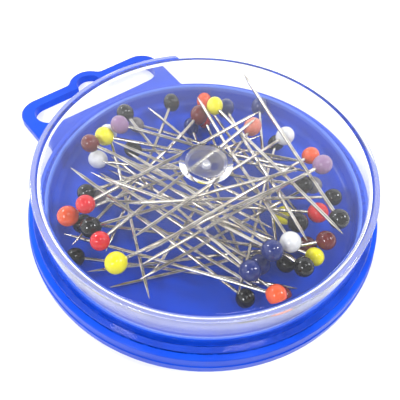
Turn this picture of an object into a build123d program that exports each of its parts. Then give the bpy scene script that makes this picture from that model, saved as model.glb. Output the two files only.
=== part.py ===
from build123d import *

import os
from math import acos, cos, degrees, pi, radians, sin, sqrt, tan

import numpy as np

# A round pin box. A shallow moulded base with a hang tab takes a clear push-on lid,
# and glass-headed steel pins lie in a loose pile inside. All sizes are millimetres.
# The origin is the middle of the base's underside, +Z is up and the tab points to +Y.

# Base. The case wall and the lid's skirt lean inwards alike, and their radii are those
# at the ledge that the lid stands on. The flange's radius is that of its foot.
ledge_width = 3.9
flange_height = 4.0
flange_wall = 1.2
flange_draft = 5.5
case_radius = 31.4
case_wall = 0.7
case_height = 6.0
wall_draft = 1.5
floor_thickness = 1.5
cove_radius = 1.2
edge_round = 0.3
edge_bevel = 0.25

# Hang tab
tab_width = 38.4
tab_thickness = 2.0
tab_corner = 5.0
tab_strip = 2.8
tab_band = 2.5
neck_round = 7.0
slot_width = 32.8
slot_height = 7.1
slot_end_round = 3.3
notch_radius = 3.1
notch_band = 1.9
notch_round = 2.0

# Lid
lid_clearance = 0.2
lid_wall = 1.2
lid_height = 9.8
lid_top = 1.2
lid_edge_round = 0.35
lid_inner_round = 0.9
rim_width = 1.05
rim_height = 0.8
rim_bevel = 0.15
dimple_radius = 3.4
dimple_depth = 0.7
dimple_slope = 0.8
boss_radius = 5.2
boss_depth = 0.8
boss_round = 0.6
gate_radius = 0.6
gate_height = 0.4

# Pins
pin_length = 44.0
head_diameter = 4.1
head_rings = 6
head_sides = 14
shaft_diameter = 0.65
shaft_sides = 6
point_length = 3.0
point_diameter = 0.12

# How the pins lie: the gap kept between two pins and to the box, in millimetres, the
# densities that balance a pin, in grams per cubic centimetre, how many heights and places
# along a pin are tried, and the angles in degrees by which a pin gives way
pin_gap = 0.06
glass_density = 2.5
steel_density = 7.85
height_count = 110
station_count = 140
shift_angle = 5
turn_angle = 3
widest_turn_angle = 24

# Worked out from the sizes above
head_radius = head_diameter / 2
shaft_radius = shaft_diameter / 2
shaft_length = pin_length - head_radius
case_outer = case_radius + case_wall
flange_radius = case_outer + ledge_width
slot_bottom = flange_radius + tab_strip
slot_top = slot_bottom + slot_height
tab_reach = slot_top + tab_band
lid_inner = case_outer + lid_clearance
lid_outer = lid_inner + lid_wall
lid_top_z = flange_height + lid_height
ceiling_z = lid_top_z - lid_top
wall_lean = tan(radians(wall_draft))
mouth_inset = (case_height - flange_height) * wall_lean
lid_inner_top = lid_inner - (ceiling_z - flange_height) * wall_lean
room_radius = min(case_radius - mouth_inset, lid_inner_top)

# The pile, in the order in which the pins drop in. Each pin has its colour, the place of
# its head and its heading. The reach is 0 where a pin spans the case through the middle
# and 1 where its head touches the wall. The bearing of the head is in degrees,
# anticlockwise from +X. The swing is the share of the largest turn, to either side of
# the middle, that still keeps the point inside the wall.
pile = [
    ("black", 1.00, 175, -0.85),
    ("dark_blue", 0.55, 60, 0.15),
    ("grey", 0.80, 90, 0.70),
    ("dark_red", 0.70, 288, 0.90),
    ("dark_red", 0.85, 291, 0.88),
    ("black", 0.80, 161, -0.60),
    ("black", 0.85, 94, -0.15),
    ("grey", 0.60, 145, -0.85),
    ("black", 0.90, 68, -0.68),
    ("dark_blue", 0.55, 260, 0.60),
    ("dark_red", 0.50, 55, -0.85),
    ("black", 0.65, 3, 0.70),
    ("black", 0.45, 108, 0.75),
    ("white", 0.75, 122, -0.20),
    ("yellow", 0.75, 113, 0.35),
    ("dark_blue", 0.65, 251, 0.50),
    ("dark_blue", 0.58, 264, 0.45),
    ("black", 0.70, 151, 0.40),
    ("grey", 0.65, 324, 0.70),
    ("salmon", 0.50, 18, 0.10),
    ("black", 0.50, 318, -0.10),
    ("red", 0.68, 304, 0.35),
    ("yellow", 0.84, 282, 0.45),
    ("dark_red", 0.80, 122, -0.20),
    ("lilac", 0.65, 105, 0.50),
    ("dark_blue", 0.72, 39, 0.65),
    ("orange", 1.00, 51, 0.65),
    ("red", 0.68, 51, 0.45),
    ("white", 0.60, 281, -0.45),
    ("dark_red", 0.90, 262, 0.55),
    ("orange", 0.66, 337, 0.50),
    ("lilac", 0.70, 327, 0.60),
    ("white", 0.54, 355, 0.22),
    ("black", 0.68, 261, 0.45),
    ("black", 0.84, 316, 0.20),
    ("white", 0.85, 111, -0.62),
    ("dark_blue", 1.00, 24, 0.60),
    ("yellow", 0.52, 45, 0.85),
    ("red", 0.72, 163, 0.30),
    ("black", 0.75, 171, -0.15),
    ("red", 0.76, 181, 0.10),
    ("black", 0.86, 272, 0.00),
    ("black", 0.52, 292, -0.35),
    ("yellow", 0.36, 281, -0.60),
    ("orange", 0.92, 171, 0.20),
    ("black", 0.88, 297, -0.85),
    ("black", 0.78, 248, 0.80),
    ("orange", 0.96, 256, 0.75),
    ("yellow", 0.80, 193, -0.45),
]


def rounded(sketch, corners):
    """Rounds the corner of the sketch nearest to each point by the radius beside it."""
    for x, y, radius in corners:
        corner = sketch.vertices().sort_by_distance(Vertex(x, y, 0))[0]
        sketch = fillet(corner, radius)
    return sketch


def bevelled(sketch, corners):
    """Bevels the corner of the sketch nearest to each point by the length beside it."""
    for x, y, length in corners:
        corner = sketch.vertices().sort_by_distance(Vertex(x, y, 0))[0]
        sketch = chamfer(corner, length)
    return sketch


def turned(sketch):
    """Turns a half section, drawn as radius and height, about the Z axis."""
    return revolve(Plane.XZ * sketch, Axis.Z)


def make_tray():
    """The floor, the case wall and the flange, which is hollow underneath."""
    ledge_underside = flange_height - flange_wall
    flange_lean = tan(radians(flange_draft))
    flange_top = flange_radius - flange_height * flange_lean
    skirt_inner = flange_radius - flange_wall
    skirt_inner_top = skirt_inner - ledge_underside * flange_lean
    case_foot = case_outer + flange_height * wall_lean
    case_neck = case_outer + flange_wall * wall_lean
    floor_radius = case_radius + (flange_height - floor_thickness) * wall_lean
    outline = Polyline(
        (0, 0),
        (case_foot, 0),
        (case_neck, ledge_underside),
        (skirt_inner_top, ledge_underside),
        (skirt_inner, 0),
        (flange_radius, 0),
        (flange_top, flange_height),
        (case_outer, flange_height),
        (case_outer - mouth_inset, case_height),
        (case_radius - mouth_inset, case_height),
        (floor_radius, floor_thickness),
        (0, floor_thickness),
        close=True,
    )
    rounds = [
        (flange_top, flange_height, edge_round),
        (floor_radius, floor_thickness, cove_radius),
    ]
    bevels = [
        (flange_radius, 0, edge_bevel),
        (case_outer - mouth_inset, case_height, edge_bevel),
        (case_radius - mouth_inset, case_height, edge_bevel),
    ]
    return turned(bevelled(rounded(make_face(outline), rounds), bevels))


def make_tab():
    """The flat hang tab with its long slot, both raised into a notch in the middle."""
    half_width = tab_width / 2
    neck_y = sqrt(flange_radius**2 - half_width**2)
    slot_middle = (slot_bottom + slot_top) / 2
    plate = Pos(0, tab_reach / 2) * Rectangle(tab_width, tab_reach)
    hump = Pos(0, slot_top) * Circle(notch_radius + notch_band)
    outer = Circle(flange_radius) + plate + hump
    hump_x = sqrt((notch_radius + notch_band) ** 2 - tab_band**2)
    outer = rounded(
        outer,
        [
            (half_width, tab_reach, tab_corner),
            (-half_width, tab_reach, tab_corner),
            (half_width, neck_y, neck_round),
            (-half_width, neck_y, neck_round),
            (hump_x, tab_reach, notch_round),
            (-hump_x, tab_reach, notch_round),
        ],
    )
    slot = Pos(0, slot_middle) * RectangleRounded(slot_width, slot_height, slot_end_round)
    slot += Pos(0, slot_top) * Circle(notch_radius)
    # The plate runs into the flange's skirt up to the middle of its wall.
    sunk = Circle(flange_radius - flange_wall / 2)
    plate = extrude(outer - slot - sunk, tab_thickness)
    return chamfer(plate.faces().sort_by(Axis.Z)[-1].outer_wire().edges(), edge_bevel)


def make_base():
    """The base, moulded in one piece with its hang tab."""
    return make_tray() + make_tab()


def make_lid():
    """The clear lid, with a gate dimple in its top and the boss that the dimple makes."""
    outer_top = lid_outer - lid_height * wall_lean
    skirt_foot = lid_outer - rim_height * wall_lean
    rim_radius = lid_outer + rim_width
    rim_z = flange_height + rim_height
    boss_z = ceiling_z - boss_depth
    dimple_z = lid_top_z - dimple_depth
    gate_z = dimple_z + gate_height
    outline = Polyline(
        (0, boss_z),
        (boss_radius, boss_z),
        (boss_radius, ceiling_z),
        (lid_inner_top, ceiling_z),
        (lid_inner, flange_height),
        (rim_radius, flange_height),
        (rim_radius, rim_z),
        (skirt_foot, rim_z),
        (outer_top, lid_top_z),
        (dimple_radius + dimple_slope, lid_top_z),
        (dimple_radius, dimple_z),
        (gate_radius, dimple_z),
        (gate_radius, gate_z),
        (0, gate_z),
        close=True,
    )
    rounds = [
        (lid_inner_top, ceiling_z, lid_inner_round),
        (outer_top, lid_top_z, lid_edge_round),
        (boss_radius, boss_z, boss_round),
    ]
    bevels = [
        (rim_radius, rim_z, rim_bevel),
    ]
    return turned(bevelled(rounded(make_face(outline), rounds), bevels))


def make_head():
    """A glass ball, fused round the end of its shaft, which leaves a bore to its middle.

    The ball is lofted through rings at even angles from pole to pole, as plain as the
    repeat of so many heads asks.
    """
    rings = []
    for number in range(head_rings):
        angle = pi * (number + 0.5) / head_rings
        ring = RegularPolygon(head_radius * sin(angle), head_sides)
        rings.append(Pos(0, 0, -head_radius * cos(angle)) * ring)
    bore = extrude(RegularPolygon(shaft_radius, shaft_sides), head_diameter)
    return loft(rings, ruled=True) - bore


def make_shaft():
    """A steel shaft from the middle of its head to its point."""
    straight = shaft_length - point_length
    section = RegularPolygon(shaft_radius, shaft_sides)
    tip = Pos(0, 0, shaft_length) * RegularPolygon(point_diameter / 2, shaft_sides)
    point = loft([Pos(0, 0, straight) * section, tip])
    return extrude(section, straight) + point


def blocked_spans(lying, parts, xs, ys, radius):
    """The spans of height that the pins lying there take from balls over some points.

    Gives the part of the way along the new pin at which each span is, and its two ends.
    """
    x, y, z, heading, rise = np.array(lying).reshape(-1, 5).T[..., None]
    ahead_x, ahead_y = np.cos(heading), np.sin(heading)
    lean = 1 / np.sqrt(1 + rise**2)
    along = (xs - x) * ahead_x + (ys - y) * ahead_y
    across = (ys - y) * ahead_x - (xs - x) * ahead_y
    head_room = (radius + head_radius + pin_gap) ** 2 - along**2 - across**2
    reach = radius + shaft_radius + pin_gap
    beside = (along > -reach) & (along < shaft_length * lean + reach)
    shaft_room = np.where(beside, reach**2 - across**2, 0)
    head_pin, head_place = np.nonzero(head_room > 0)
    head_middle = z[head_pin, 0]
    head_half = np.sqrt(head_room[head_pin, head_place])
    shaft_pin, shaft_place = np.nonzero(shaft_room > 0)
    shaft_middle = (z + rise * along)[shaft_pin, shaft_place]
    shaft_half = np.sqrt(shaft_room[shaft_pin, shaft_place]) / lean[shaft_pin, 0]
    middle = np.concatenate([head_middle, shaft_middle])
    half = np.concatenate([head_half, shaft_half])
    return parts[np.concatenate([head_place, shaft_place])], middle - half, middle + half


def balance_share():
    """How far along the shaft a pin balances, as a share of the shaft's length."""
    head_mass = glass_density * 4 / 3 * pi * head_radius**3
    shaft_mass = steel_density * pi * shaft_radius**2 * shaft_length
    return 0.5 * shaft_mass / (head_mass + shaft_mass)


def lowest_rest(x, y, heading, lying):
    """The lowest heights of head and point at which a pin is clear of those that lie there.

    Every pair of heights on a grid is tried at once. A pair is free if, all along the
    pin, the line between them misses the spans that the other pins block. The free pair
    with the lowest balance point is one where the pin rests. None if nothing is free.
    """
    head_low = floor_thickness + head_radius + pin_gap
    head_high = ceiling_z - head_radius - pin_gap
    point_low = floor_thickness + shaft_radius + pin_gap
    point_high = ceiling_z - shaft_radius - pin_gap
    heads = np.linspace(head_low, head_high, height_count)[:, None]
    points, point_step = np.linspace(point_low, point_high, height_count, retstep=True)
    _, low, high = blocked_spans(lying, np.zeros(1), x, y, head_radius)
    head_blocked = ((heads > low) & (heads < high)).any(axis=1)

    parts = np.linspace(head_radius / shaft_length, 1, station_count)
    xs = x + parts * shaft_length * cos(heading)
    ys = y + parts * shaft_length * sin(heading)
    part, low, high = blocked_spans(lying, parts, xs, ys, shaft_radius)
    under_boss = parts[np.hypot(xs, ys) < boss_radius + shaft_radius + pin_gap]
    part = np.append(part, under_boss)
    low = np.append(low, np.full(under_boss.size, point_high - boss_depth))
    high = np.append(high, np.full(under_boss.size, lid_top_z))

    # Each span blocks a run of point heights, which differs from head height to head
    # height. The runs are counted where they start and taken off again where they end.
    low = (low - heads * (1 - part)) / part - point_low
    high = (high - heads * (1 - part)) / part - point_low
    start = np.clip(np.floor(low / point_step) + 1, 0, height_count).astype(int)
    end = np.clip(np.ceil(high / point_step), 0, height_count).astype(int)
    rows = np.arange(height_count)[:, None] * (height_count + 1)
    cells = height_count * (height_count + 1)
    change = np.bincount((rows + start).ravel(), minlength=cells).astype(int)
    change -= np.bincount((rows + end).ravel(), minlength=cells)
    depth = change.reshape(height_count, height_count + 1).cumsum(axis=1)[:, :-1]
    free = (depth == 0) & ~head_blocked[:, None]
    if not free.any():
        return None
    share = balance_share()
    balance = np.where(free, heads * (1 - share) + points * share, np.inf)
    row, column = np.unravel_index(balance.argmin(), balance.shape)
    return heads[row, 0], points[column]


def either_way(step, widest):
    """The angles 0, step, -step, twice the step and so on, up to the widest."""
    steps = range(1, int(widest / step) + 1)
    return [0] + [side * number * step for number in steps for side in (1, -1)]


def drop_pin(reach, bearing, swing, lying):
    """Drops one pin in. Where nothing is free it turns, then its head moves round.

    Gives the middle of its head, its heading and its rise, or None if there is no room.
    """
    head_far = room_radius - head_radius - pin_gap
    point_far = room_radius - shaft_radius - pin_gap
    head_near = shaft_length - point_far
    out = head_near + reach * (head_far - head_near)
    widest = acos((out**2 + shaft_length**2 - point_far**2) / (2 * out * shaft_length))
    for shift in either_way(shift_angle, 180):
        head_bearing = radians(bearing + shift)
        x, y = out * cos(head_bearing), out * sin(head_bearing)
        for turn in either_way(turn_angle, widest_turn_angle):
            share = max(-1, min(1, swing + turn / degrees(widest)))
            heading = head_bearing + pi + share * widest
            rest = lowest_rest(x, y, heading, lying)
            if rest:
                head_z, point_z = rest
                return x, y, head_z, heading, (point_z - head_z) / shaft_length
    return None


def drop_pile():
    """Drops the pins in, one after the other, and gives each one's colour with it.

    The case holds as many of them as it has room for.
    """
    lying, colours = [], []
    for colour, reach, bearing, swing in pile:
        pin = drop_pin(reach, bearing, swing, lying)
        if pin:
            lying.append(pin)
            colours.append(colour)
    return list(zip(colours, lying))


def place_of(pin):
    """The place of a pin: the middle of its head, with the shaft along its Z axis."""
    x, y, z, heading, rise = pin
    ahead = (cos(heading), sin(heading), rise)
    level = (-sin(heading), cos(heading), 0)
    return Plane(origin=(x, y, z), x_dir=level, z_dir=ahead).location


def write_node(name, solids):
    """Writes one node, which holds one solid or several alike."""
    node = solids[0] if len(solids) == 1 else Compound(children=solids)
    node.label = name
    export_step(node, f"parts/{name}.step")


os.makedirs("parts", exist_ok=True)
write_node("base", [make_base()])
write_node("lid", [make_lid()])
pins = drop_pile()
head = make_head()
shaft = make_shaft()
for colour in sorted({colour for colour, _ in pins}):
    places = [place_of(pin) for pin_colour, pin in pins if pin_colour == colour]
    write_node(f"{colour}_pin_heads", [head.moved(place) for place in places])
    write_node(f"{colour}_pin_shafts", [shaft.moved(place) for place in places])
print(len(pins), "pins, highest head top", round(max(pin[2] for _, pin in pins) + head_radius, 2))
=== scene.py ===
import math
import random

import bmesh
import bpy
import numpy as np
from mathutils import Matrix, Quaternion, Vector


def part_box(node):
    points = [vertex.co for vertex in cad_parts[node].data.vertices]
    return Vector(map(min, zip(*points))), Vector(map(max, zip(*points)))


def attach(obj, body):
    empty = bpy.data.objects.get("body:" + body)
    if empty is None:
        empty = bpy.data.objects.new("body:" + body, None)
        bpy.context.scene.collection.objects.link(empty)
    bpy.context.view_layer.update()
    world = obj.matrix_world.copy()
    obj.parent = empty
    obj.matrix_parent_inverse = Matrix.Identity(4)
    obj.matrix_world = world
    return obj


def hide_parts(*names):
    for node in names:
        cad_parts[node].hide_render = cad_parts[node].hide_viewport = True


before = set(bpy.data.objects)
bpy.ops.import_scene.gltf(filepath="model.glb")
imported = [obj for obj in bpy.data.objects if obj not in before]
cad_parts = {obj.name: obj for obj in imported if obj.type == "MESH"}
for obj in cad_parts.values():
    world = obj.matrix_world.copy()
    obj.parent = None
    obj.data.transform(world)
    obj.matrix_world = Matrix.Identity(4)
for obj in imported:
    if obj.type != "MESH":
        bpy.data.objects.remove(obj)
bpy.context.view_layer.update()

# The pin box dressed for its picture. All lengths are metres, in the frame of the CAD
# model: the origin is the middle of the base's underside, +Z is up and the tab is at +Y.

# Camera
tab_bearing = math.radians(42.0)      # the tab points this far left of the line of sight
camera_elevation = math.radians(53.0)
camera_distance = 0.110
camera_roll = math.radians(3.26)
focal_share = 514 / 400               # focal length over the width of the picture
sensor_width = 36.0                   # millimetres
aim_right = -0.00080                  # the point looked at, to the right of the origin
aim_ahead = 0.00100                   # and beyond it, as the camera sees them
clip_start = 0.005
clip_end = 10.0

# Pins
head_segments = 32
head_rings = 20
head_neck_height = 0.00016            # how far the glass creeps up the shaft
head_neck_flare = 0.00020
head_neck_steps = 4
head_irregularity = 0.015             # how much flatter a ball may be one way than another
smallest_head = 0.86                  # hand-made heads vary in size, up to the CAD size
shaft_segments = 16
shaft_girth = 1.08                    # over the CAD solid's faceted radius
shaft_start = 0.5                     # from the ball's middle, as a share of the CAD head's radius
sharpest_smooth = math.radians(28)    # a sharper turn than this shows as an edge
point_length = 0.003
point_radius = 0.00006
point_taper = 0.9                     # 1 is a straight cone, and less a fuller one
point_segments = 8
chance_seed = 7
same_point = 1e-7                     # corners of the CAD mesh this close are one
end_slice = 0.0002                    # a shaft's end corners lie within this length
bend_steps = 8                        # flat pieces in a rounded corner or a soft slope

# Lid
lid_segments = 256
lid_foot = 0.0040                     # it stands on the ledge
lid_inner_foot = 0.0323               # radii at the foot, then just under the flat top
lid_inner_top = 0.032075
lid_outer_foot = 0.03348
lid_outer_top = 0.03324
lid_ceiling = 0.0126
lid_inner_round = 0.0009
lid_edge_round = 0.00035
rim_height = 0.0008
rim_bevel = 0.00015
boss_flat = 0.00405                   # the boss under the dimple: its flat face
boss_foot = 0.0053                    # and where its slope meets the ceiling
boss_depth = 0.00095
dimple_floor = 0.0034
dimple_rim = 0.0042
dimple_depth = 0.0007
gate_radius = 0.0006
gate_height = 0.0004

# Cloudy colours: the noise values at which the first colour ends and the second starts
cloud_start = 0.35
cloud_end = 0.65

# Clear plastic
clear_tint = (0.965, 0.975, 0.995, 1)
clear_index = 1.49
straight_tint = (0.97, 0.975, 0.985, 1)    # for light that passes it unbent
recess_radius = 0.0040
recess_edge = 0.0003
recess_floor = 0.0128                 # the frost is on the top side only, above this height
recess_roughness = 0.35
haze_start = 0.0320                   # the edge of the top is hazy from this radius outwards
haze_fade = 0.0003
haze_bottom = 0.0100                  # and above this height
haze_top = 0.0128
edge_clarity = 0.76
gate_haze_radius = 0.0007             # the cut end of the gate is hazy too
deepest_refraction = 3                # the lid bends light up to this ray depth and lets deeper rays by
boss_reach = 0.0060                   # within this radius, round the boss, the depth counts as 1 more
shoulder_radius = 0.0330              # beyond this radius and above the next height, at the edge of
shoulder_height = 0.0110              # the top, it counts as deepest_refraction more

# Blue plastic
blue_low = (0.0016, 0.054, 0.56)
blue_high = (0.0026, 0.072, 0.65)
blue_roughness = 0.28
blue_index = 1.46
blue_specular = 0.25
floor_painted_shade = 0.85                 # painted shade: the case floor's colour round the pile, as a share of the rest's
painted_shade_radius = 0.0220                  # as darkly shaded as that up to this radius
painted_shade_end_radius = 0.0280                # and not at all from this one on
rim_highlight_start = 0.0046               # painted highlight on the thin rim of the case wall, from this height up
rim_highlight_full = 0.0054
rim_highlight_radius = 0.0319              # on its inner side
rim_highlight_colour = (0.26, 0.42, 1.0, 1)
rim_highlight_strength = 0.40

# Glass and steel
glass_roughness = 0.12
glass_index = 1.5
glass_shade = 0.85                    # the darker clouds in the glass, as a share of its colour
steel_low = (0.50, 0.45, 0.37)
steel_high = (0.84, 0.80, 0.72)
steel_roughness = 0.16

# Floor and surroundings
floor_size = 1.2
floor_colour = (0.80, 0.80, 0.81, 1)
floor_roughness = 0.7
floor_specular = 0.1
floor_glow = 0.24                     # only for the camera, glass and metal
white = (1, 1, 1, 1)
backdrop_top = 44.0                   # degrees above the horizon
backdrop_level = 1.45
ceiling_start = 62.0
ceiling_level = 0.10                  # as a share of the backdrop's level
room_level = 0.35                     # behind the camera, as a share of the backdrop's level
backdrop_side = (-0.5, 0.87)          # the bright side, ahead of the camera and to its left
room_start = -0.65                    # the cosines of the angle from there between which
room_end = 0.10                       # the room behind the camera gives way to the backdrop

# Each lamp's place to the right, ahead and up as the camera sees it, its width and its watts
lamps = {
    "main_box": (-0.24, -0.34, 0.34, 0.10, 1.10),
    "fill_box": (0.36, 0.02, 0.32, 0.10, 1.00),
    "back_box": (-0.32, 0.20, 0.30, 0.08, 0.65),
    "top_box": (0.12, -0.12, 0.50, 0.12, 0.65),
}

pin_colours = {
    "black": (0.0015, 0.0015, 0.002),
    "dark_blue": (0.010, 0.022, 0.16),
    "dark_red": (0.16, 0.012, 0.012),
    "grey": (0.20, 0.18, 0.19),
    "lilac": (0.32, 0.18, 0.33),
    "orange": (0.85, 0.10, 0.02),
    "red": (0.72, 0.012, 0.020),
    "salmon": (0.82, 0.24, 0.16),
    "white": (0.80, 0.80, 0.80),
    "yellow": (0.95, 0.86, 0.005),
}


def new_material(name):
    """A material, its node tree, its Principled shader and its output."""
    material = bpy.data.materials.new(name)
    material.use_nodes = True
    tree = material.node_tree
    tree.nodes.clear()
    output = tree.nodes.new("ShaderNodeOutputMaterial")
    shader = tree.nodes.new("ShaderNodeBsdfPrincipled")
    tree.links.new(shader.outputs["BSDF"], output.inputs["Surface"])
    return material, tree, shader, output


def add_noise(tree, scale, detail, distortion=0.0):
    """A noise texture in object coordinates. The scale is in cycles per metre."""
    place = tree.nodes.new("ShaderNodeTexCoord")
    noise = tree.nodes.new("ShaderNodeTexNoise")
    noise.inputs["Scale"].default_value = scale
    noise.inputs["Detail"].default_value = detail
    noise.inputs["Distortion"].default_value = distortion
    tree.links.new(place.outputs["Object"], noise.inputs["Vector"])
    return noise


def add_ramp(tree, source, low, high):
    """A ramp from one colour to another, driven by a noise texture."""
    ramp = tree.nodes.new("ShaderNodeValToRGB")
    ramp.color_ramp.elements[0].position = cloud_start
    ramp.color_ramp.elements[0].color = (*low, 1)
    ramp.color_ramp.elements[1].position = cloud_end
    ramp.color_ramp.elements[1].color = (*high, 1)
    tree.links.new(source.outputs["Fac"], ramp.inputs["Fac"])
    return ramp.outputs["Color"]


def add_bump(tree, source, shader, height, strength):
    """A bump of the given height in metres, driven by a noise texture."""
    bump = tree.nodes.new("ShaderNodeBump")
    bump.inputs["Distance"].default_value = height
    bump.inputs["Strength"].default_value = strength
    tree.links.new(source.outputs["Fac"], bump.inputs["Height"])
    tree.links.new(bump.outputs["Normal"], shader.inputs["Normal"])


def add_math(tree, operation, *values):
    """A math node on sockets and plain numbers."""
    node = tree.nodes.new("ShaderNodeMath")
    node.operation = operation
    for socket, value in zip(node.inputs, values):
        if isinstance(value, (int, float)):
            socket.default_value = value
        else:
            tree.links.new(value, socket)
    return node.outputs["Value"]


def add_range(tree, source, start, end, low=0.0, high=1.0, kind="LINEAR"):
    """Turns the values from start to end into those from low to high."""
    node = tree.nodes.new("ShaderNodeMapRange")
    node.interpolation_type = kind
    node.inputs["From Min"].default_value = start
    node.inputs["From Max"].default_value = end
    node.inputs["To Min"].default_value = low
    node.inputs["To Max"].default_value = high
    tree.links.new(source, node.inputs["Value"])
    return node.outputs["Result"]


def add_scaled(tree, vector, share):
    """A colour or vector made larger or smaller."""
    node = tree.nodes.new("ShaderNodeVectorMath")
    node.operation = "SCALE"
    tree.links.new(vector, node.inputs[0])
    tree.links.new(share, node.inputs["Scale"])
    return node.outputs["Vector"]


def add_colour_mix(tree, share, first, second):
    """A mix of a colour socket with a plain colour."""
    mix = tree.nodes.new("ShaderNodeMix")
    mix.data_type = "RGBA"
    # A Mix node has sockets of the same name for numbers, vectors and colours, so they go by number
    tree.links.new(share, mix.inputs[0])
    tree.links.new(first, mix.inputs[6])
    mix.inputs[7].default_value = second
    return mix.outputs[2]


def add_reach_and_height(tree):
    """How far a point lies from the middle axis, and how high."""
    place = tree.nodes.new("ShaderNodeTexCoord")
    flat = tree.nodes.new("ShaderNodeVectorMath")
    flat.operation = "MULTIPLY"
    flat.inputs[1].default_value = (1, 1, 0)
    reach = tree.nodes.new("ShaderNodeVectorMath")
    reach.operation = "LENGTH"
    split = tree.nodes.new("ShaderNodeSeparateXYZ")
    tree.links.new(place.outputs["Object"], flat.inputs[0])
    tree.links.new(flat.outputs["Vector"], reach.inputs[0])
    tree.links.new(place.outputs["Object"], split.inputs["Vector"])
    return reach.outputs["Value"], split.outputs["Z"]


def mix_shaders(tree, share, first, second, output):
    """Sends a mix of two shaders to the output."""
    mix = tree.nodes.new("ShaderNodeMixShader")
    tree.links.new(share, mix.inputs["Fac"])
    tree.links.new(first, mix.inputs[1])
    tree.links.new(second, mix.inputs[2])
    tree.links.new(mix.outputs["Shader"], output.inputs["Surface"])


def make_blue_plastic():
    """Moulded blue plastic: saturated and glossy, with faint flow marks, painted shade on the case floor
    round the pile and a painted highlight on the thin rim of the case wall.
    """
    material, tree, shader, _ = new_material("blue_plastic")
    flow = add_noise(tree, scale=60.0, detail=4.0, distortion=0.6)
    colour = add_ramp(tree, flow, blue_low, blue_high)
    reach, height = add_reach_and_height(tree)
    # painted shade: the case floor darker round the middle, where the pins' shadows fall
    painted_shade = add_range(tree, reach, painted_shade_radius, painted_shade_end_radius, floor_painted_shade, 1.0, "SMOOTHSTEP")
    colour_with_painted_shade = add_scaled(tree, colour, painted_shade)
    # painted highlight: the inner side of the case wall's thin rim made paler towards its top
    rim_highlight = add_range(tree, height, rim_highlight_start, rim_highlight_full, 0.0, rim_highlight_strength, "SMOOTHSTEP")
    inside = add_math(tree, "LESS_THAN", reach, rim_highlight_radius)
    share = add_math(tree, "MULTIPLY", inside, rim_highlight)
    highlighted_colour = add_colour_mix(tree, share, colour_with_painted_shade, rim_highlight_colour)
    tree.links.new(highlighted_colour, shader.inputs["Base Color"])
    shader.inputs["Roughness"].default_value = blue_roughness
    shader.inputs["IOR"].default_value = blue_index
    shader.inputs["Specular IOR Level"].default_value = blue_specular
    grain = add_noise(tree, scale=900.0, detail=2.0)
    add_bump(tree, grain, shader, height=0.000012, strength=0.5)
    return material


def frosted_recess(tree):
    """Roughness that is 0 but for the gate recess in the middle of the lid's top, which is matt."""
    reach, height = add_reach_and_height(tree)
    near = add_range(tree, reach, recess_radius, recess_radius + recess_edge, recess_roughness, 0.0)
    return add_math(tree, "MULTIPLY", near, add_math(tree, "GREATER_THAN", height, recess_floor))


def hazy_edge(tree):
    """Transmission that is 1 but for the edge of the lid's top, where the wall scatters light."""
    reach, height = add_reach_and_height(tree)
    outwards = add_range(tree, reach, haze_start, haze_start + haze_fade)
    upwards = add_range(tree, height, haze_bottom, haze_top, kind="SMOOTHSTEP")
    edge = add_math(tree, "MULTIPLY", outwards, upwards)
    gate = add_range(tree, reach, gate_haze_radius, gate_haze_radius + haze_fade, 1.0, 0.0)
    return add_range(tree, add_math(tree, "MAXIMUM", edge, gate), 0.0, 1.0, 1.0, edge_clarity)


def let_through(tree):
    """1 for light that passes the lid unbent.

    That is the lamps' light, and light that has met several surfaces already, such as what
    comes off the pins and the base when they are seen through the lid.
    """
    path = tree.nodes.new("ShaderNodeLightPath")
    reach, height = add_reach_and_height(tree)
    near_boss = add_math(tree, "LESS_THAN", reach, boss_reach)
    outside = add_math(tree, "GREATER_THAN", reach, shoulder_radius)
    above = add_math(tree, "GREATER_THAN", height, shoulder_height)
    shoulder = add_math(tree, "MULTIPLY", outside, above)
    hurry = add_math(tree, "MULTIPLY_ADD", shoulder, deepest_refraction, near_boss)
    count = add_math(tree, "ADD", path.outputs["Ray Depth"], hurry)
    count = add_math(tree, "ADD", count, path.outputs["Is Reflection Ray"])
    deep = add_math(tree, "GREATER_THAN", count, deepest_refraction)
    return add_math(tree, "MAXIMUM", path.outputs["Is Shadow Ray"], deep)


def make_clear_plastic():
    """Clear moulded plastic. Lamps shine through it onto what it covers."""
    material, tree, shader, output = new_material("clear_plastic")
    shader.inputs["Base Color"].default_value = clear_tint
    shader.inputs["IOR"].default_value = clear_index
    tree.links.new(hazy_edge(tree), shader.inputs["Transmission Weight"])
    tree.links.new(frosted_recess(tree), shader.inputs["Roughness"])
    waves = add_noise(tree, scale=45.0, detail=1.0)
    add_bump(tree, waves, shader, height=0.00004, strength=0.25)
    straight = tree.nodes.new("ShaderNodeBsdfTransparent")
    straight.inputs["Color"].default_value = straight_tint
    mix_shaders(tree, let_through(tree), shader.outputs["BSDF"], straight.outputs["BSDF"], output)
    return material


def make_glass_head(name, colour):
    """Opaque coloured glass with a slightly uneven, fire-polished skin."""
    material, tree, shader, _ = new_material(name)
    darker = tuple(channel * glass_shade for channel in colour)
    cloud = add_noise(tree, scale=700.0, detail=2.0)
    paint = add_ramp(tree, cloud, darker, colour)
    tree.links.new(paint, shader.inputs["Base Color"])
    shader.inputs["Roughness"].default_value = glass_roughness
    shader.inputs["IOR"].default_value = glass_index
    skin = add_noise(tree, scale=900.0, detail=1.0)
    add_bump(tree, skin, shader, height=0.00002, strength=0.4)
    return material


def make_pin_steel():
    """Nickel-plated steel wire with faint drawing marks."""
    material, tree, shader, _ = new_material("pin_steel")
    wear = add_noise(tree, scale=300.0, detail=4.0)
    colour = add_ramp(tree, wear, steel_low, steel_high)
    tree.links.new(colour, shader.inputs["Base Color"])
    shader.inputs["Metallic"].default_value = 1.0
    shader.inputs["Roughness"].default_value = steel_roughness
    marks = add_noise(tree, scale=4000.0, detail=2.0)
    add_bump(tree, marks, shader, height=0.000004, strength=0.4)
    return material


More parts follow.
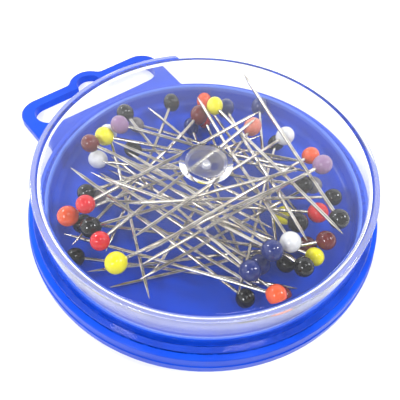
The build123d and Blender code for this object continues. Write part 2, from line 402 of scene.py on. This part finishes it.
def seen_directly(tree, mirrored=False):
    """1 for rays from the camera and those that glass sends on, and if asked those mirrored."""
    path = tree.nodes.new("ShaderNodeLightPath")
    value = add_math(tree, "MAXIMUM", path.outputs["Is Camera Ray"], path.outputs["Is Transmission Ray"])
    if mirrored:
        value = add_math(tree, "MAXIMUM", value, path.outputs["Is Glossy Ray"])
    return value


def make_white(name):
    """A floor that takes a soft shadow and looks white to the camera, glass and metal."""
    material, tree, shader, output = new_material(name)
    shader.inputs["Base Color"].default_value = floor_colour
    shader.inputs["Roughness"].default_value = floor_roughness
    shader.inputs["Specular IOR Level"].default_value = floor_specular
    glow = tree.nodes.new("ShaderNodeEmission")
    glow.inputs["Strength"].default_value = floor_glow
    add = tree.nodes.new("ShaderNodeAddShader")
    tree.links.new(shader.outputs["BSDF"], add.inputs[0])
    tree.links.new(glow.outputs["Emission"], add.inputs[1])
    seen_share = seen_directly(tree, mirrored=True)
    mix_shaders(tree, seen_share, shader.outputs["BSDF"], add.outputs["Shader"], output)
    return material


def loose_parts(node):
    """The points of each separate solid of a CAD node, joined where they meet."""
    mesh = bmesh.new()
    mesh.from_mesh(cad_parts[node].data)
    bmesh.ops.remove_doubles(mesh, verts=mesh.verts, dist=same_point)
    left = set(mesh.verts)
    parts = []
    while left:
        front = [left.pop()]
        part = []
        while front:
            vertex = front.pop()
            part.append(vertex.co.copy())
            for edge in vertex.link_edges:
                other = edge.other_vert(vertex)
                if other in left:
                    left.remove(other)
                    front.append(other)
        parts.append(part)
    mesh.free()
    parts.sort(key=lambda part: tuple(sum(part, Vector()) / len(part)))
    return parts


def read_pin(part):
    """Where a shaft starts and ends, and its radius at its start."""
    points = np.array([tuple(co) for co in part])
    middle = points.mean(axis=0)
    axis = np.linalg.svd(points - middle)[2][0]
    along = (points - middle) @ axis
    near_low = points[along < along.min() + end_slice]
    near_high = points[along > along.max() - end_slice]
    low, high = near_low.mean(axis=0), near_high.mean(axis=0)
    low_radius = np.linalg.norm(near_low - low, axis=1).max()
    high_radius = np.linalg.norm(near_high - high, axis=1).max()
    if low_radius < high_radius:
        low, high = high, low
    return Vector(low), Vector(high), float(max(low_radius, high_radius))


def read_head_radius():
    """The radius of a head, read from the CAD solids."""
    head = loose_parts("salmon_pin_heads")[0]
    middle = read_pin(loose_parts("salmon_pin_shafts")[0])[0]
    return max((co - middle).length for co in head)


def lathe(mesh, profile, segments, place):
    """Adds a turned surface: the profile's (radius, height) points about local Z."""
    rings = []
    for radius, height in profile:
        if radius == 0:
            rings.append([mesh.verts.new(place @ Vector((0, 0, height)))])
            continue
        ring = []
        for number in range(segments):
            angle = 2 * math.pi * number / segments
            point = Vector((radius * math.cos(angle), radius * math.sin(angle), height))
            ring.append(mesh.verts.new(place @ point))
        rings.append(ring)
    for low, high in zip(rings, rings[1:]):
        for number in range(segments):
            after = (number + 1) % segments
            corners = [low[number % len(low)], low[after % len(low)]]
            corners += [high[after % len(high)], high[number % len(high)]]
            corners = list(dict.fromkeys(corners))
            if len(corners) > 2:
                mesh.faces.new(corners)


def head_profile(radius, shaft_radius):
    """A ball that ends in a short neck where the glass has run up the shaft."""
    neck_radius = shaft_radius + head_neck_flare
    mouth = math.asin(neck_radius / radius)
    profile = [(0.0, -radius)]
    for ring in range(1, head_rings + 1):
        angle = math.pi - (math.pi - mouth) * ring / head_rings
        profile.append((radius * math.sin(angle), radius * math.cos(angle)))
    top = radius * math.cos(mouth)
    for step in range(1, head_neck_steps + 1):
        share = step / head_neck_steps
        flare = head_neck_flare * (1 - share) ** 2
        profile.append((shaft_radius + flare, top + head_neck_height * share))
    return profile


def shaft_profile(radius, length, start):
    """A round wire that tapers to a fine point along a gentle curve."""
    straight = length - point_length
    profile = [(0.0, start), (radius, start), (radius, straight)]
    for step in range(1, point_segments + 1):
        share = step / point_segments
        taper = (1 - share) ** point_taper
        width = point_radius + (radius - point_radius) * taper
        profile.append((width, straight + point_length * share))
    profile.append((0.0, length))
    return profile


def corner(radius, height, size, first, last):
    """Points of a rounded corner about a centre, from one angle to another, in degrees."""
    points = []
    for step in range(bend_steps + 1):
        angle = math.radians(first + (last - first) * step / bend_steps)
        points.append((radius + size * math.cos(angle), height + size * math.sin(angle)))
    return points


def blend_between(low, high):
    """Points of a soft slope between two points, level at both ends."""
    points = []
    for step in range(bend_steps + 1):
        share = step / bend_steps
        rise = (1 - math.cos(math.pi * share)) / 2
        points.append((low[0] + (high[0] - low[0]) * share, low[1] + (high[1] - low[1]) * rise))
    return points


def lid_profile(top, rim_radius):
    """The lid's outline, from the middle of its underside round to the middle of its top."""
    boss = lid_ceiling - boss_depth
    rim_top = lid_foot + rim_height
    floor = top - dimple_depth
    gate_top = floor + gate_height
    inner_bend = lid_ceiling - lid_inner_round
    outer_bend = top - lid_edge_round
    outline = [(0.0, boss), (boss_flat, boss), (boss_foot, lid_ceiling)]
    outline += corner(lid_inner_top - lid_inner_round, inner_bend, lid_inner_round, 90, 0)
    outline += [(lid_inner_foot, lid_foot), (rim_radius, lid_foot)]
    outline += [(rim_radius, rim_top - rim_bevel), (rim_radius - rim_bevel, rim_top)]
    outline += [(lid_outer_foot, rim_top)]
    outline += corner(lid_outer_top - lid_edge_round, outer_bend, lid_edge_round, 0, 90)
    outline += blend_between((dimple_rim, top), (dimple_floor, floor))
    outline += [(gate_radius, floor), (gate_radius, gate_top), (0.0, gate_top)]
    return outline


def finished(name, mesh, material, body, node):
    """Makes the object of a mesh that stands for a CAD node."""
    data = bpy.data.meshes.new(name)
    bmesh.ops.recalc_face_normals(mesh, faces=mesh.faces)
    for edge in mesh.edges:
        edge.smooth = edge.calc_face_angle(0.0) < sharpest_smooth
    for face in mesh.faces:
        face.smooth = True
    mesh.to_mesh(data)
    mesh.free()
    piece = bpy.data.objects.new(name, data)
    bpy.context.scene.collection.objects.link(piece)
    piece.data.materials.append(material)
    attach(piece, body)
    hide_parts(node)


def standing(start, end):
    """The place of something that stands at start, with its Z axis towards end."""
    turn = (end - start).to_track_quat("Z", "Y")
    return Matrix.Translation(start) @ turn.to_matrix().to_4x4()


def dress_mouldings():
    """The base keeps its CAD shape. The lid is turned again, finer and with its boss's slope."""
    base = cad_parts["base"]
    base.data.materials.clear()
    base.data.materials.append(make_blue_plastic())
    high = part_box("lid")[1]
    shell = bmesh.new()
    lathe(shell, lid_profile(high[2], high[0]), lid_segments, Matrix.Identity(4))
    finished("clear_lid", shell, make_clear_plastic(), "lid", "lid")


def dress_pins():
    """Round heads and shafts for every pin, one object for each CAD node."""
    steel = make_pin_steel()
    chance = random.Random(chance_seed)
    head_radius = read_head_radius()
    for colour, paint in pin_colours.items():
        shafts_node = f"{colour}_pin_shafts"
        heads_node = f"{colour}_pin_heads"
        heads = bmesh.new()
        shafts = bmesh.new()
        for part in loose_parts(shafts_node):
            start, end, radius = read_pin(part)
            spin = Matrix.Rotation(chance.uniform(0, 2 * math.pi), 4, "Z")
            place = standing(start, end) @ spin
            flatter = [1 - chance.uniform(0, head_irregularity) for _ in range(2)]
            stretch = Matrix.Diagonal((1, *flatter, 1))
            ball_radius = head_radius * chance.uniform(smallest_head, 1)
            lathe(heads, head_profile(ball_radius, radius), head_segments, place @ stretch)
            length = (end - start).length
            wire = shaft_profile(radius * shaft_girth, length, head_radius * shaft_start)
            lathe(shafts, wire, shaft_segments, place)
        glass = make_glass_head(f"{colour}_glass", paint)
        finished(f"{colour}_heads", heads, glass, "box", heads_node)
        finished(f"{colour}_shafts", shafts, steel, "box", shafts_node)


def make_floor():
    """A plain white floor, which isn't part of the box."""
    bpy.ops.mesh.primitive_plane_add(size=floor_size, location=(0, 0, 0))
    floor = bpy.context.object
    floor.name = "floor"
    floor.data.materials.append(make_white("floor_white"))


def seen(right, ahead, up):
    """A point given as the camera sees it, to the right, ahead and up, in the frame's axes."""
    x = right * math.cos(tab_bearing) + ahead * math.sin(tab_bearing)
    y = -right * math.sin(tab_bearing) + ahead * math.cos(tab_bearing)
    return Vector((x, y, up))


def make_world():
    """White surroundings, dimmer overhead and behind the camera.

    What the camera sees directly or through the lid is white all over.
    """
    world = bpy.data.worlds.new("studio")
    bpy.context.scene.world = world
    world.use_nodes = True
    tree = world.node_tree
    tree.nodes.clear()
    output = tree.nodes.new("ShaderNodeOutputWorld")
    plain = tree.nodes.new("ShaderNodeBackground")
    plain.inputs["Color"].default_value = white
    plain.inputs["Strength"].default_value = 1.0
    studio = tree.nodes.new("ShaderNodeBackground")
    studio.inputs["Strength"].default_value = backdrop_level
    place = tree.nodes.new("ShaderNodeTexCoord")
    split = tree.nodes.new("ShaderNodeSeparateXYZ")
    ramp = tree.nodes.new("ShaderNodeValToRGB")
    ramp.color_ramp.interpolation = "EASE"
    ramp.color_ramp.elements[0].position = math.sin(math.radians(backdrop_top))
    ramp.color_ramp.elements[0].color = white
    ramp.color_ramp.elements[1].position = math.sin(math.radians(ceiling_start))
    ramp.color_ramp.elements[1].color = (ceiling_level, ceiling_level, ceiling_level, 1)
    tree.links.new(place.outputs["Generated"], split.inputs["Vector"])
    tree.links.new(split.outputs["Z"], ramp.inputs["Fac"])
    ahead = tree.nodes.new("ShaderNodeVectorMath")
    ahead.operation = "DOT_PRODUCT"
    ahead.inputs[1].default_value = seen(*backdrop_side, 0)
    tree.links.new(place.outputs["Generated"], ahead.inputs[0])
    facing = ahead.outputs["Value"]
    room = add_range(tree, facing, room_start, room_end, room_level, 1.0, "SMOOTHSTEP")
    tree.links.new(add_scaled(tree, ramp.outputs["Color"], room), studio.inputs["Color"])
    seen_share = seen_directly(tree)
    mix_shaders(tree, seen_share, studio.outputs["Background"], plain.outputs["Background"], output)


def make_lights():
    """Soft studio light: square area lamps in front, at one side, behind and overhead."""
    for name, (right, ahead, up, width, watts) in lamps.items():
        data = bpy.data.lights.new(name, "AREA")
        data.shape = "SQUARE"
        data.size = width
        data.energy = watts
        lamp = bpy.data.objects.new(name, data)
        bpy.context.scene.collection.objects.link(lamp)
        lamp.location = seen(right, ahead, up)
        lamp.rotation_mode = "QUATERNION"
        lamp.rotation_quaternion = lamp.location.to_track_quat("Z", "Y")


def make_camera():
    """The camera stands where the photograph's does."""
    data = bpy.data.cameras.new("camera")
    data.sensor_fit = "HORIZONTAL"
    data.sensor_width = sensor_width
    data.lens = sensor_width * focal_share
    data.clip_start = clip_start
    data.clip_end = clip_end
    camera = bpy.data.objects.new("camera", data)
    bpy.context.scene.collection.objects.link(camera)
    flat = camera_distance * math.cos(camera_elevation)
    camera.location = seen(0, -flat, camera_distance * math.sin(camera_elevation))
    ahead = (seen(aim_right, aim_ahead, 0) - camera.location).normalized()
    upright = ahead.to_track_quat("-Z", "Y")
    camera.rotation_mode = "QUATERNION"
    camera.rotation_quaternion = upright @ Quaternion((0, 0, 1), camera_roll)
    bpy.context.scene.camera = camera


bpy.context.scene.view_settings.view_transform = "Standard"
dress_mouldings()
dress_pins()
make_floor()
make_world()
make_lights()
make_camera()
